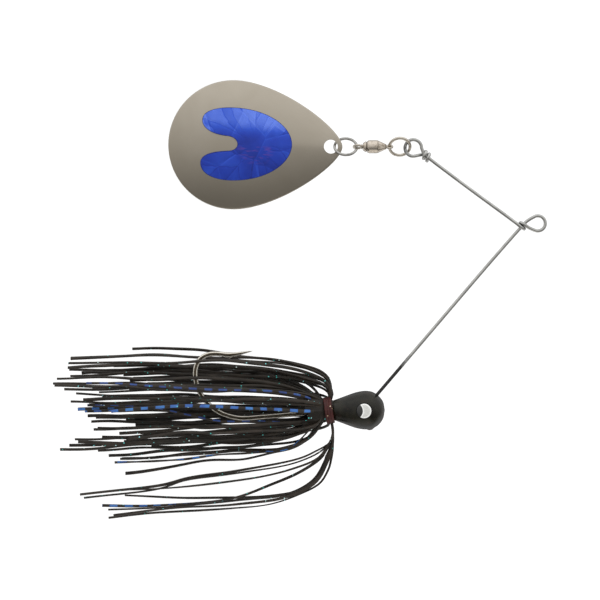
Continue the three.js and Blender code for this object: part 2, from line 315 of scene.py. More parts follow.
class Nodes:
    """A node tree, with a short call for each kind of node used here."""

    def __init__(self, tree):
        self.tree = tree
        tree.nodes.clear()

    def feed(self, socket, value):
        if isinstance(value, Value):
            self.tree.links.new(value.socket, socket)
        elif socket.type == "RGBA":
            socket.default_value = (*value, 1)
        else:
            socket.default_value = value

    def add(self, kind, inputs=None, **settings):
        node = self.tree.nodes.new(kind)
        for key, value in settings.items():
            setattr(node, key, value)
        for key, value in (inputs or {}).items():
            self.feed(node.inputs[key], value)
        return node

    def out(self, kind, inputs=None, output=0, **settings):
        """Adds a node and gives one of its outputs."""
        return Value(self, self.add(kind, inputs, **settings).outputs[output])

    def scaled(self, vector, factor):
        factor = factor if isinstance(factor, tuple) else (factor,) * 3
        return self.out("ShaderNodeVectorMath", {0: vector, 1: factor}, operation="MULTIPLY")

    def split(self, vector):
        node = self.add("ShaderNodeSeparateXYZ", {0: vector})
        return [Value(self, socket) for socket in node.outputs]

    def math(self, operation, a, b=0.0):
        return self.out("ShaderNodeMath", {0: a, 1: b}, operation=operation)

    def distance(self, dx, dz):
        return self.math("SQRT", dx * dx + dz * dz)

    def noise(self, vector, scale, detail=2.0, roughness=0.5, distortion=0.0):
        inputs = {"Vector": vector, "Scale": scale, "Detail": detail, "Roughness": roughness}
        return self.out("ShaderNodeTexNoise", {**inputs, "Distortion": distortion}, "Fac")

    def cells(self, vector, scale):
        """Random cells: the distance from the middle of the nearest cell, and that cell's random colour."""
        node = self.add("ShaderNodeTexVoronoi", {"Vector": vector, "Scale": scale})
        return Value(self, node.outputs["Distance"]), Value(self, node.outputs["Color"])

    def cell_edge(self, vector, scale):
        """The distance from the nearest edge between the same cells."""
        inputs = {"Vector": vector, "Scale": scale}
        return self.out("ShaderNodeTexVoronoi", inputs, "Distance", feature="DISTANCE_TO_EDGE")

    def mix(self, share, a, b):
        return self.out("ShaderNodeMix", {0: share, 6: a, 7: b}, 2, data_type="RGBA")

    def ramp(self, value, *stops):
        node = self.add("ShaderNodeValToRGB", {0: value})
        elements = node.color_ramp.elements
        while len(elements) < len(stops):
            elements.new(0.5)
        for element, (position, colour) in zip(elements, stops):
            element.position = position
            element.color = (*colour, 1)
        return Value(self, node.outputs[0])


class Look(Nodes):
    """A material with one Principled shader. Its place is in millimetres of the swimming attitude."""

    def __init__(self, name, **sockets):
        self.material = bpy.data.materials.new(name)
        self.material.use_nodes = True
        super().__init__(self.material.node_tree)
        self.shader = self.add("ShaderNodeBsdfPrincipled")
        self.add("ShaderNodeOutputMaterial", {"Surface": Value(self, self.shader.outputs[0])})
        self.place = self.scaled(self.out("ShaderNodeTexCoord", output="Object"), 1 / MM)
        self.along = self.out("ShaderNodeUVMap", uv_map="Along")
        for socket, value in sockets.items():
            self.set(socket.replace("_", " "), value)

    def set(self, name, value):
        self.feed(self.shader.inputs[name], value)

    def finish(self, colour, roughness, *bumps):
        """Sets the colour and roughness, and lays (height, distance in millimetres) bumps on each other."""
        self.set("Base Color", colour)
        self.set("Roughness", roughness)
        below = {}
        for height, distance in bumps:
            inputs = {"Height": height, "Distance": distance * MM, "Strength": 1.0}
            below = {"Normal": self.out("ShaderNodeBump", {**inputs, **below})}
            self.set("Normal", below["Normal"])
        return self.material


# -------- Looks --------
# Painted shade in the gap between the two turns of the line tie's coil, which darkens the wire there: its
# middle, the coil's axis, half its width and half its length.
TIE_GAP_SHADE = {"x": -4.42, "z": -0.72, "axis": (0.665, 0.747), "half": 0.24, "reach": 1.5}
# Where the black paint on the wire ends, and where it is whole.
WIRE_PAINT = (-34.0, -37.5)
# The colour of the painted shade laid in the seams of the swivel's plating.
SEAM_SHADE = (0.09, 0.075, 0.055)
# Where the foil's crumples fan out from.
FOIL_FAN = {"x": -80.5, "z": 22.0}
# The two shades of the silicone.
SILICONE = ((0.0115, 0.0092, 0.0066), (0.028, 0.0208, 0.0148))
# The printed bars: how far apart they start, the printed share of that, where they begin and how they fade.
BAR = {"period": 4.2, "share": 0.52, "first": 7.5, "fade": 0.03}
# Flake colours, each at its place along a random tint from 0 to 1.
TEAL_FLAKES = [
    (0.0, (0.02, 0.3, 0.24)), (0.35, (0.06, 0.5, 0.46)), (0.65, (0.25, 0.66, 0.68)), (1.0, (0.6, 0.68, 0.64)),
]
GOLD_FLAKES = [(0.0, (0.5, 0.2, 0.1)), (0.5, (0.7, 0.55, 0.35)), (1.0, (0.8, 0.75, 0.65))]


def wire_look():
    """Drawn stainless wire, with painted shade darkening it between the turns of its coil. Near the head it
    took the black paint.
    """
    look = Look("stainless_wire")
    fine = look.noise(look.scaled(look.along, (0.25, 9, 1)), 3, 3)
    smudge = look.noise(look.place, 0.35, 3)
    x, _, z = look.split(look.place)
    dx, dz = x - TIE_GAP_SHADE["x"], z - TIE_GAP_SHADE["z"]
    ax, az = TIE_GAP_SHADE["axis"]
    along, across = abs(dx * ax + dz * az), abs(dx * az - dz * ax)
    gap_shade = along.span(TIE_GAP_SHADE["half"], 0.1) * across.span(TIE_GAP_SHADE["reach"], 1.2)
    edge = x + look.noise(look.place, 1.4, 3) * 3
    paint = edge.span(*WIRE_PAINT, smooth=True)
    steel = look.mix(smudge.span(0.3, 0.7), (0.5, 0.5, 0.485), (0.66, 0.66, 0.64))
    # Painted shade: the steel turns near black in the gap between the coil's turns.
    steel = look.mix(gap_shade * 0.9, steel, (0.03, 0.028, 0.025))
    look.set("Metallic", paint.span(0.2, 0.9, 1, 0))
    roughness = fine.span(0.3, 0.7, 0.14, 0.27) + paint * 0.12
    return look.finish(look.mix(paint, steel, (0.012, 0.0115, 0.01)), roughness, (fine, 0.003))


def plate_look(name, light, dark, rough, grime, metal=1.0, seams=()):
    """Plated metal: a slight mottle, fine scratches, darker plate in patches, and painted shade in any seams.

    Each seam is a place along the lure and half a width.
    """
    look = Look(name, Metallic=metal)
    mottle = look.noise(look.place, 0.8, 4, 0.6)
    scratch = look.noise(look.scaled(look.place, (1, 6, 2.2)), 2.6, 4, 0.7)
    colour = look.mix(mottle.span(0.34, 0.34 + grime), dark, light)
    # Painted shade: each seam gets a dark band, standing for the shade in its groove.
    for at, half in seams:
        off = abs(look.split(look.place)[0] - at)
        colour = look.mix(off.span(half, 0.4 * half, 0, 0.8), colour, SEAM_SHADE)
    plain = mottle.span(0.3, 0.7, rough * 1.25, rough * 0.8)
    scratched = scratch.span(0.45, 0.75, 0, 0.07)
    return look.finish(colour, plain + scratched, (scratch, 0.002), (mottle, 0.004))


def hook_look():
    """Dark nickel over forged steel, with painted highlights: bright cream streaks along both flanks of the
    wire, either side of its dark middle.
    """
    look = Look("hook_nickel")
    mottle = look.noise(look.place, 0.6, 4, 0.6)
    streak = look.noise(look.scaled(look.along, (0.12, 5, 1)), 3, 3)
    side = abs(look.math("COSINE", look.split(look.along)[1] * (2 * math.pi)))
    # Painted highlight: pale cream, less metallic streaks along both flanks of the wire.
    flank_highlight = (side + streak * 0.3).span(0.55, 0.75, smooth=True) * side.span(0.93, 0.82)
    dark = look.mix(mottle.span(0.35, 0.7), (0.075, 0.06, 0.04), (0.15, 0.125, 0.09))
    look.set("Metallic", flank_highlight.span(0, 1, 1, 0.45))
    roughness = mottle.span(0.3, 0.7, 0.12, 0.22) + streak.span(0.4, 0.7, 0, 0.06) + flank_highlight * 0.18
    return look.finish(look.mix(flank_highlight, dark, (0.82, 0.78, 0.69)), roughness, (streak, 0.01), (mottle, 0.01))


def blade_look():
    """Smoked nickel with a soft lustre: fine horizontal polishing marks and faint handling smears."""
    look = Look("smoked_nickel", Metallic=1.0)
    polish = look.noise(look.scaled(look.place, (0.5, 1, 7)), 1.6, 4, 0.6)
    smear = look.noise(look.place, 0.09, 3, 0.5, 0.4)
    pits, _ = look.cells(look.place, 1.1)
    colour = look.mix(smear.span(0.35, 0.65), (0.5, 0.452, 0.376), (0.53, 0.482, 0.406))
    roughness = polish.span(0.3, 0.7, 0.27, 0.33) + smear.span(0.3, 0.7, 0.03, 0)
    return look.finish(colour, roughness, (polish, 0.0015), (pits.span(0.0, 0.12), 0.002))


def foil_look():
    """Royal blue foil tape: crumples that fan out from the notch, straight folds and violet streaks. Painted
    light makes its top lighter, its creases darker and its folds brighter.
    """
    look = Look("blue_foil", Metallic=0.45, Specular_IOR_Level=0.35, Coat_Weight=0.2, Coat_Roughness=0.12)
    x, _, z = look.split(look.place)
    dx, dz = x - FOIL_FAN["x"], z - FOIL_FAN["z"]
    turn, reach = look.math("ARCTAN2", dz, dx), look.distance(dx, dz)
    wander = look.noise(look.place, 0.16, 2)
    fan = look.out("ShaderNodeCombineXYZ", {0: turn * 2.7, 1: reach * 0.1 + wander * 1.2})
    _, pleat = look.cells(fan, 1.0)
    crease = look.cell_edge(fan, 1.0)
    flat = look.scaled(look.place, (1, 0.05, 1))
    _, fold = look.cells(flat, 0.11)
    fold_edge = look.cell_edge(flat, 0.11)
    outside = reach.span(2.5, 7)
    tone = look.split(pleat)[0] * (outside * 0.24) + look.split(fold)[1] * 0.16 + wander * 0.4
    # Painted light: the foil is lighter towards the top and darker on the lower half of its right-hand end.
    tone += z.span(23, 30, -0.04, 0.44, True)
    tone -= x.span(-84, -78) * z.span(22, 16, 0, 0.16)
    tone += reach.span(7.0, 1.5, 0, 0.02, True)
    # Painted shade along the crumples' creases, and painted highlight along the straight folds.
    tone -= crease.span(0.035, 0.0) * outside * 0.16
    tone += fold_edge.span(0.02, 0.0) * 0.1
    deep, dull = (0.009, 0.022, 0.22), (0.013, 0.042, 0.38)
    royal, pale = (0.024, 0.078, 0.53), (0.115, 0.205, 0.74)
    colour = look.ramp(tone, (0.12, deep), (0.34, dull), (0.58, royal), (0.88, pale))
    streaks = look.noise(look.scaled(look.place, (0.45, 1, 2.0)), 0.6, 2).span(0.52, 0.62)
    violet = streaks * (reach.span(6, 3) * z.span(22.4, 21.2))
    colour = look.mix(violet * 0.6, colour, (0.12, 0.05, 0.3))
    crumples = crease.span(0.0, 0.14) * outside
    folds = fold_edge.span(0, 0.08)
    ripples = look.noise(flat, 1.2, 3)
    roughness = tone.span(0.1, 0.9, 0.38, 0.24)
    return look.finish(colour, roughness, (crumples, 0.07), (folds, 0.06), (ripples, 0.03))


def foil_edge_look():
    """The foil's edge line: a thin dark blue rim with a little mottle."""
    look = Look("foil_edge")
    grime = look.noise(look.place, 0.9, 3)
    colour = look.mix(grime.span(0.35, 0.65), (0.006, 0.01, 0.05), (0.02, 0.03, 0.13))
    return look.finish(colour, 0.5, (grime, 0.01))


def paint_look():
    """Glossy powder paint over a lead casting, brown-red in thin spots and along the lower parting line."""
    look = Look("black_paint", Specular_IOR_Level=0.42)
    lumps = look.noise(look.place, 0.28, 3)
    peel = look.noise(look.place, 2.2, 3)
    dust, _ = look.cells(look.place, 1.7)
    thin = look.noise(look.place, 0.5, 4, 0.6).span(0.55, 0.78)
    _, y, z = look.split(look.place)
    parting = abs(y).span(2.2, 1.2) * z.span(HEAD_Z - 1, HEAD_Z - 3)
    body = look.mix(lumps.span(0.35, 0.65), (0.0015, 0.0014, 0.0002), (0.0118, 0.0109, 0.006))
    body = look.mix(parting * 0.6, body, (0.026, 0.0085, 0.0062))
    colour = look.mix(thin * 0.5, body, (0.026, 0.011, 0.007))
    roughness = lumps.span(0.3, 0.7, 0.2, 0.3) + dust.span(0.1, 0.0, 0, 0.2)
    specks = dust.span(0.0, 0.08, 1, 0)
    return look.finish(colour, roughness, (lumps, 0.12), (peel, 0.008), (specks, 0.01))


def eye_look():
    """A moulded pearl eye: a large black pupil set back, a pale grey iris and a whiter rim."""
    look = Look("pearl_eye", Coat_Weight=1.0, Coat_Roughness=0.03)
    x, _, z = look.split(look.place)
    dz = z - HEAD_Z
    from_pupil, from_eye = look.distance(x - PUPIL["x"], dz), look.distance(x - EYE["x"], dz)
    edge = PUPIL["radius"]
    pupil = 1.0 - from_pupil.span(edge - 0.05, edge + 0.05)
    off_rim, off_pupil = from_eye.span(1.85, 1.6), from_pupil.span(edge + 0.2, edge + 0.4)
    inner = look.math("MINIMUM", off_rim, off_pupil)
    swirl = look.noise(look.scaled(look.place, (1, 1, 2)), 1.3, 4, 0.6, 0.8)
    grey = look.mix(swirl.span(0.3, 0.7), (0.42, 0.42, 0.4), (0.54, 0.54, 0.515))
    pearl = look.mix(inner, (0.7, 0.7, 0.68), grey)
    black = look.math("MAXIMUM", from_eye.span(2.02, 2.08), pupil)
    return look.finish(look.mix(black, pearl, (0.008, 0.008, 0.008)), 0.3, (swirl, 0.01))


def flecked(look, base, scale, share, tints):
    """Puts sparse metal flakes over a base colour. Gives the colour and where the flakes are."""
    distance, colour = look.cells(look.place, scale)
    chance, tint, _ = look.split(colour)
    chosen = distance.span(0.26, 0.2) * look.math("GREATER_THAN", chance, 1 - share)
    return look.mix(chosen, base, look.ramp(tint, *tints)), chosen


def silicone_look(name, bars=None, depth=1.0):
    """Dark silicone with fine flake. Barred strands carry bars of two blues printed on one face."""
    look = Look(name, Specular_IOR_Level=0.38)
    tone = look.noise(look.place, 0.25, 3)
    grain = look.noise(look.scaled(look.along, (0.6, 5, 1)), 2.5, 3)
    # A depth under 1 darkens both shades: painted shade, used for the uncut tabs.
    shades = [tuple(part * depth for part in shade) for shade in SILICONE]
    base = look.mix(tone.span(0.35, 0.65), *shades)
    if bars:
        u, v, _ = look.split(look.along)
        wobble = look.noise(look.place, 0.3, 1) * 0.35
        beat = look.math("FRACT", look.math("DIVIDE", u, BAR["period"]) + wobble)
        dash = beat.span(0.0, BAR["fade"]) * beat.span(BAR["share"] + BAR["fade"], BAR["share"])
        printed = dash * abs(v - 0.25).span(0.15, 0.12)
        printed *= u.span(BAR["first"] - 0.5, BAR["first"] + 0.5)
        base = look.mix(printed, base, look.mix(tone.span(0.3, 0.7), *bars))
    colour, flakes = flecked(look, base, 1.3, 0.12, TEAL_FLAKES)
    roughness = grain.span(0.3, 0.7, 0.36, 0.5) - flakes * 0.15
    return look.finish(colour, roughness, (grain, 0.015), (tone, 0.05))


def band_look():
    """Dark red rubber, wound tight, with pale flecks."""
    look = Look("red_rubber", Specular_IOR_Level=0.4)
    tone = look.noise(look.place, 0.8, 4, 0.6)
    strands = look.noise(look.scaled(look.place, (5, 1, 1)), 1.2, 3)
    base = look.mix(tone.span(0.3, 0.7), (0.026, 0.0045, 0.004), (0.064, 0.0105, 0.0085))
    colour, _ = flecked(look, base, 1.5, 0.1, GOLD_FLAKES)
    return look.finish(colour, tone.span(0.3, 0.7, 0.4, 0.6), (strands, 0.06), (tone, 0.03))


# -------- Wire form --------
def wire_points():
    coil_r = 2 * WIRE_R + 0.04
    arm_coil = coil((-32.3, 19.55), (0.797, -0.604), (0.604, 0.797), coil_r, 1.2, 470, -190, 20)
    arm_loop = arc((-35.57, 21.54), 2.37, 290, 0, 16)
    arm = [(-32.85, 0, 20.55), (-32.6, 0, 19.85), (-31.9, 0, 19.22), (-30.6, 0, 18.2), (-20, -0.3, 10.2)]
    arm_end = [(-8.5, -0.85, 1.7), (-6.2, -0.97, -0.03)]
    tie_coil = coil((-4.78, -1.12), (-0.665, -0.747), (-0.747, 0.665), coil_r, -1.1, 0, 375, 12)
    tie_loop = [(-2.6, -0.55, -1.25), *arc((0, 0), 2.15, -112, 125, 13)]
    lower = [(-2.5, 0, 1.05), (-3.45, 0, 0.33), (-4.1, 0, -0.36), (-4.78, 0, -1.12), (-5.5, 0, -1.9)]
    run = [(-6.8, 0, -3.35), (-15.4, 0, -13.2), (-34.6, 0, -35.7), (-45.9, 0, -48.9)]
    in_head = [(-48.9, -0.35, -52.3), (-50.5, -1.2, -53.3), (-52.6, -1.5, -53.45)]
    through_hook = [(-53.7, -1.3, -53.45), (-54, -0.6, -53.45), (-54, 1.5, -53.45)]
    return [*arm_coil, *arm_loop, *arm, *arm_end, *tie_coil, *tie_loop, *lower, *run, *in_head, *through_hook]


def make_wire():
    points = route(wire_points(), 6)
    radius = np.full(len(points), WIRE_R)
    # The cut end that shows is bevelled a little.
    radius[0] = WIRE_R * 0.82
    shape = Shape()
    shape.sweep(points, radius, 20)
    piece(shape.object("wire_form_bent"), "wire_and_head", "stainless_wire", ["wire"], "wire_form")


# -------- Rings and swivel --------
# The flats pressed on the front of the swivel's barrel: where they start, how far out they are as a share of
# the radius there, and the least distance from the axis.
FLATS = {"front": -45.7, "share": 0.86, "least": 0.4}


def add_ring(shape, x, radius, wire, roll, count=72):
    """A ring of wire about (x, CHAIN_Z), rolled about X. A positive roll brings its top to the camera."""
    tilt = math.radians(roll)
    centre = np.array([x, 0, CHAIN_Z])
    axis = np.array([0, math.cos(tilt), math.sin(tilt)])
    section = circle(16)
    rows = []
    for a in circle(count):
        out = np.array([math.cos(a), -math.sin(a) * math.sin(tilt), math.sin(a) * math.cos(tilt)])
        wall = np.outer(np.cos(section), out) + np.outer(np.sin(section), axis)
        rows.append(centre + radius * out + wire * wall)
    shape.grid(rows, radius * circle(count), closed=True)


def add_turned_ring(shape, profile, sides):
    """A hollow body turned about the chain's axis from an (x, radius) outline."""
    outline = np.array(profile, float)
    rows = []
    for angle in circle(sides):
        y, z = outline[:, 1] * math.cos(angle), CHAIN_Z + outline[:, 1] * math.sin(angle)
        rows.append(np.column_stack([outline[:, 0], y, z]))
    shape.grid(rows, 0.15 * np.arange(sides), closed=True)


def soft_corners(profile, reach):
    """Rounds each corner of an open (x, radius) profile."""
    p = np.array(profile, float)
    out = [p[0]]
    for before, corner, after in zip(p, p[1:], p[2:]):
        a, b = before - corner, after - corner
        cut = min(reach, 0.4 * np.linalg.norm(a), 0.4 * np.linalg.norm(b))
        start, end = corner + a / np.linalg.norm(a) * cut, corner + b / np.linalg.norm(b) * cut
        for u in (0, 0.25, 0.5, 0.75, 1):
            out.append((1 - u) ** 2 * start + 2 * u * (1 - u) * corner + u**2 * end)
    out.append(p[-1])
    return [tuple(q) for q in out]


def make_rings():
    for name, x, radius, wire, roll, look in (
        ("arm_ring", -39.44, 2.94, 0.44, 38, "nickel"),
        ("blade_ring", -54.88, 3.18, 0.395, -39, "grey_nickel"),
    ):
        shape = Shape()
        add_ring(shape, x, radius, wire, roll)
        piece(shape.object(name + "_round"), name, "nickel_plate", [look], name)


def make_barrel():
    """The swivel's barrel, pressed to flats on both sides of its tapered front."""
    profile = [
        (-46.9, 0), (-46.9, 1.2), (-48.65, 1.2), (-48.65, 1.66), (-48.2, 1.88), (-46.1, 1.88),
        (-45.75, 1.82), (-45.6, 1.76), (-44.4, 1.2), (-43.3, 0.68), (-43.25, 0.3), (-44.5, 0.3), (-44.5, 0),
    ]

    def pressed(x, y, z):
        flat = FLATS["share"] * math.hypot(y, z - CHAIN_Z)
        on_flat = x > FLATS["front"] and abs(y) > flat > FLATS["least"]
        return x, math.copysign(flat, y) if on_flat else y, z

    shape = Shape()
    shape.lathe(soft_corners(profile, 0.06), 64, (0, CHAIN_Z))
    shape.move(pressed)
    barrel = shape.object("swivel_barrel_pressed", 18)
    piece(barrel, "swivel", "nickel_plate", ["satin_nickel"], "swivel_barrel")


def make_cap():
    outline = [
        (-48.72, 0.46), (-49.9, 0.46), (-49.98, 0.84), (-49.9, 1.06), (-49.4, 1.42), (-49.1, 1.58),
        (-49.02, 1.34), (-48.86, 1.34), (-48.8, 1.6), (-48.72, 1.62),
    ]
    shape = Shape()
    add_turned_ring(shape, outline, 64)
    piece(shape.object("swivel_cap_rolled"), "swivel", "nickel_plate", ["satin_nickel"], "swivel_cap")


def make_end_eye():
    stem = [(-44.4, 0), (-44.4, 0.2), (-43.35, 0.22), (-43.15, 0.2), (-43.15, 0)]
    shape = Shape()
    add_ring(shape, -42.41, 0.87, 0.3, -62, 40)
    shape.lathe(soft_corners(stem, 0.03), 16, (0, CHAIN_Z))
    piece(shape.object("swivel_end_eye_bent"), "swivel", "nickel_plate", ["nickel"], "swivel_end_eye")


def make_spindle():
    profile = [
        (-50.6, 0), (-50.55, 0.5), (-50.35, 0.72), (-50.12, 0.74), (-50.04, 0.36), (-47.95, 0.36),
        (-47.95, 1.05), (-47.3, 1.05), (-47.3, 0),
    ]
    shape = Shape()
    shape.lathe(soft_corners(profile, 0.06), 32, (0, CHAIN_Z))
    add_ring(shape, -51.46, 1.1, 0.35, 70, 48)
    piece(shape.object("swivel_spindle_bent"), "spindle", "nickel_plate", ["nickel"], "swivel_spindle")


def smooth_balls():
    """The CAD's thrust balls stay, with their own look."""
    for name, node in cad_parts.items():
        if name.startswith("thrust_ball"):
            node.data.materials.clear()
            node.data.materials.append(LOOKS["ball"])
            node.data.polygons.foreach_set("use_smooth", [True] * len(node.data.polygons))


# -------- Head, eyes, hook and band --------
# The bulges that casting left on the head: where, how high, how wide and how steep.
BULGES = [((-47.7, 0, -58.9), 0.34, 0.95, 4), ((-45.6, -0.6, -57.3), 0.12, 1.2, 2)]


def make_head():
    knots = [
        (-58.5, 0, 2.78), (-56.2, 0, 3.6), (-54, 0, 4.42), (-51.8, 0, 5.15), (-49.3, 0, 5.52),
        (-47.2, 0, 5.2), (-45.4, 0, 4.0), (-44.2, 0, 2.4), (-43.7, 0, 0.02),
    ]
    bulb = [(x, r) for x, _, r in route(knots, 10)]
    collar = [(-62.6, 0), (-62.6, 1.2), (-62.3, 1.66), (-61.8, COLLAR_R), (-58.62, COLLAR_R)]

    def bulged(x, y, z):
        p = np.array([x, y, z])
        radial = np.array([0, y, z - HEAD_Z])
        radial /= max(np.linalg.norm(radial), 1e-6)
        away = [(np.linalg.norm(p - at) / width, high, steep) for at, high, width, steep in BULGES]
        return p + radial * sum(high * math.exp(-(d**steep)) for d, high, steep in away)

    shape = Shape()
    shape.lathe([*soft_corners(collar, 0.1), (-58.5, 2.6), *bulb], 128, (0, HEAD_Z))
    shape.move(bulged)
    head = outward(shape.object("head_casting_painted", 60))
    for side in (-1, 1):
        seat, radius = EYE["seat"], EYE["radius"]
        tool = Shape()
        tool.lathe([(seat, 0), (seat, radius + 0.1), (8, radius + 0.35), (8, 0)], 96)
        tool.move(lambda out, x, z: (EYE["x"] + x, side * out, HEAD_Z + z))
        boolean(head, outward(tool.object("cutter")), "DIFFERENCE")
    smooth(head.data, CUT_SHARP)
    piece(head, "wire_and_head", "head_paint", ["paint"], "head_casting")


def make_eyes():
    radius = EYE["radius"]
    profile = [(0, 0), (0, radius - 0.02), (0.22, radius), (0.3, radius - 0.04)]
    for a in np.linspace(0.12, math.pi / 2, 12):
        profile.append((0.3 + 0.4 * math.sin(a), (radius - 0.08) * math.cos(a)))
    for side, name in ((-1, "right_eye"), (1, "left_eye")):
        dome = Shape()
        dome.lathe(profile, 64)
        dome.move(lambda out, x, z: (EYE["x"] + x, side * (EYE["face"] + out), HEAD_Z + z))
        piece(outward(dome.object(name + "_domed", 50)), "wire_and_head", "pearl_eye", ["eye"], name)


# The radius of the hook's wire, the length of its spear point, how much the wire swells where the spear
# starts, and the radius of the barb.
HOOK = {"radius": 0.7, "spear": 7.2, "swell": 0.08, "barb": 0.46}


def make_hook():
    eye = arc((-54, -53.5), 1.9, 140, -150, 12)
    shank = [(-56.9, 0, -53.8), (-58.5, 0, -53.6), (-62, 0, -53.85), (-70, 0, -54.55), (-78.8, 0, -55.3)]
    bend = [(-85.1, 0, -55.6), (-90, 0, -54.4), (-93.6, 0, -52.1), (-96.5, 0, -48.4), (-97.8, 0, -44.2)]
    throat = [(-97.7, 0, -41.2), (-96.4, 0, -38.7), (-93.8, 0, -37.4), (-90.6, 0, -37.35)]
    point = [(-88.2, 0, -37.6), (-81.4, 0, -36.45)]
    points = route([*eye, *shank, *bend, *throat, *point], 8)
    left = lengths(points)[-1] - lengths(points)
    spear = HOOK["spear"]
    radius = np.where(left < spear, (HOOK["radius"] + 0.01) * (left / spear) ** 0.7, HOOK["radius"])
    swell = HOOK["swell"] * np.exp(-(((left - spear) / 1.2) ** 2))
    shape = Shape()
    shape.sweep(points, np.maximum(radius + swell, 0.015), 20)
    barb = route([(-84.6, 0, -37.05), (-86.2, 0, -37.55), (-87.6, 0, -38.15), (-88.7, 0, -38.85)], 6)
    shape.sweep(barb, HOOK["barb"] * np.linspace(1, 0.05, len(barb)) ** 0.8, 12, thin=0.7)
    piece(shape.object("hook_forged"), "wire_and_head", "hook_steel", ["hook"], "hook")


def make_band():
    """Turns of rubber wound side by side, leaning back at the top."""
    rng = random.Random(SEEDS["band"])
    turns, sides, around = BAND["turns"], 24, 120
    lean = math.radians(BAND["lean"])
    width = 2 * BAND["half"] / turns
    thickness = BAND["outer"] - BAND["inner"]
    wander = [(rng.uniform(0, 6.28), rng.uniform(0.03, 0.07)) for _ in range(turns)]
    shape = Shape()
    for k, (phase, sway) in enumerate(wander):
        middle = -BAND["half"] + width * (k + 0.5)
        rows = []
        for a in circle(around):
            x0 = middle + sway * math.sin(2 * a + phase)
            r0 = (BAND["inner"] + BAND["outer"]) / 2 + 0.05 * math.sin(3 * a + 2 * phase)
            ring = []
            for b in circle(sides):
                x = x0 + 0.56 * width * math.copysign(abs(math.cos(b)) ** 0.7, math.cos(b))
                r = r0 + 0.5 * thickness * math.copysign(abs(math.sin(b)) ** 0.8, math.sin(b))
                z = r * math.sin(a)
                forwards = x * math.cos(lean) - z * math.sin(lean)
                up = z * math.cos(lean) + x * math.sin(lean)
                ring.append((BAND["x"] + forwards, r * math.cos(a), BAND["z"] + up))
            rows.append(ring)
        shape.grid(rows, BAND["outer"] * circle(around), closed=True)
    band = outward(shape.object("skirt_band_wound"))
    piece(band, "wire_and_head", "red_rubber", ["band"], "skirt_band")


# -------- Skirt --------
# Strands of the main bundle that show from the camera: the tip's x and height z, its depth y (negative is
# towards the camera), how much its middle is raised, and whether it is barred. "Folded" strands leave the
# front of the band and fold back over it. The others leave the back of the band.
FOLDED = [
    (-116.2, -35.9, 4.5, 0.2, 0), (-133.8, -38.7, 3.0, 1.2, 0), (-133.9, -40.0, -2.6, 1.0, 0),
    (-134.5, -41.2, 2.2, 1.4, 0), (-126.0, -38.4, 8.5, 0.8, 0), (-129.0, -42.8, 9.5, 0.4, 0),
    (-131.0, -43.0, 7.0, 1.2, 0), (-122.0, -41.0, 10.0, 0.6, 0),
]
TRAILING = [
    (-134.4, -41.9, 5.0, 0.6, 0), (-133.7, -43.5, 1.6, 0.8, 0), (-137.1, -44.3, -2.6, 0.4, 0),
    (-138.2, -45.6, -2.5, -0.4, 0), (-137.6, -45.9, -4.5, -0.8, 0), (-131.4, -48.5, -5.0, -0.8, 0),
    (-134.5, -47.0, -7.5, 0.2, 0), (-126.5, -46.6, -8.5, -0.2, 0), (-132.7, -50.7, -7.0, 0.3, 0),
    (-129.0, -50.0, -9.5, 0.4, 0), (-130.8, -52.7, -6.0, 0.6, 1), (-127.5, -51.6, -8.0, 0.8, 0),
    (-129.7, -53.6, 3.0, 0.2, 1), (-128.8, -55.3, 2.0, 0.6, 0), (-123.1, -55.2, 4.0, 1.4, 0),
    (-127.9, -57.0, 3.5, 0.4, 0), (-119.9, -58.2, -8.5, 0.6, 0), (-126.0, -58.5, 2.5, 0.2, 0),
    (-119.0, -59.4, -7.0, 1.2, 0), (-116.2, -60.6, -9.0, 1.5, 0), (-131.9, -61.3, -3.5, 0.8, 0),
    (-130.8, -62.2, -5.5, 0.4, 0), (-136.2, -64.2, -2.5, 1.0, 0), (-134.0, -63.6, 1.5, 1.2, 0),
    (-124.0, -62.6, -6.0, 0.6, 0), (-122.5, -66.2, -1.0, 1.2, 0), (-118.6, -66.9, -2.5, 1.4, 0),
    (-119.5, -67.2, 2.0, 1.2, 0), (-117.9, -71.3, 1.0, 2.6, 0), (-126.0, -65.0, 4.0, 0.8, 0),
]
# How the printed face of a barred strand turns about the strand, in radians, from its band end (0) to its tip
# (1). At 0 it faces the camera.
TURNS = {
    "facing": lambda share: 0.25 * np.sin(5 * share),
    "rolling": lambda share: 0.15 + 0.6 * share**2,
    "aslant": lambda share: 0.95 + 0.25 * np.sin(9 * share),
    "in and out": lambda share: 1.35 + 0.75 * np.sin(17 * share),
    "at its tip": lambda share: math.pi * (1 - share**2),
}
# The turns whose bars are faint.
DULL = ("rolling", "aslant")
STRAND_LOOKS = ["silicone", "barred", "dull_bars"]
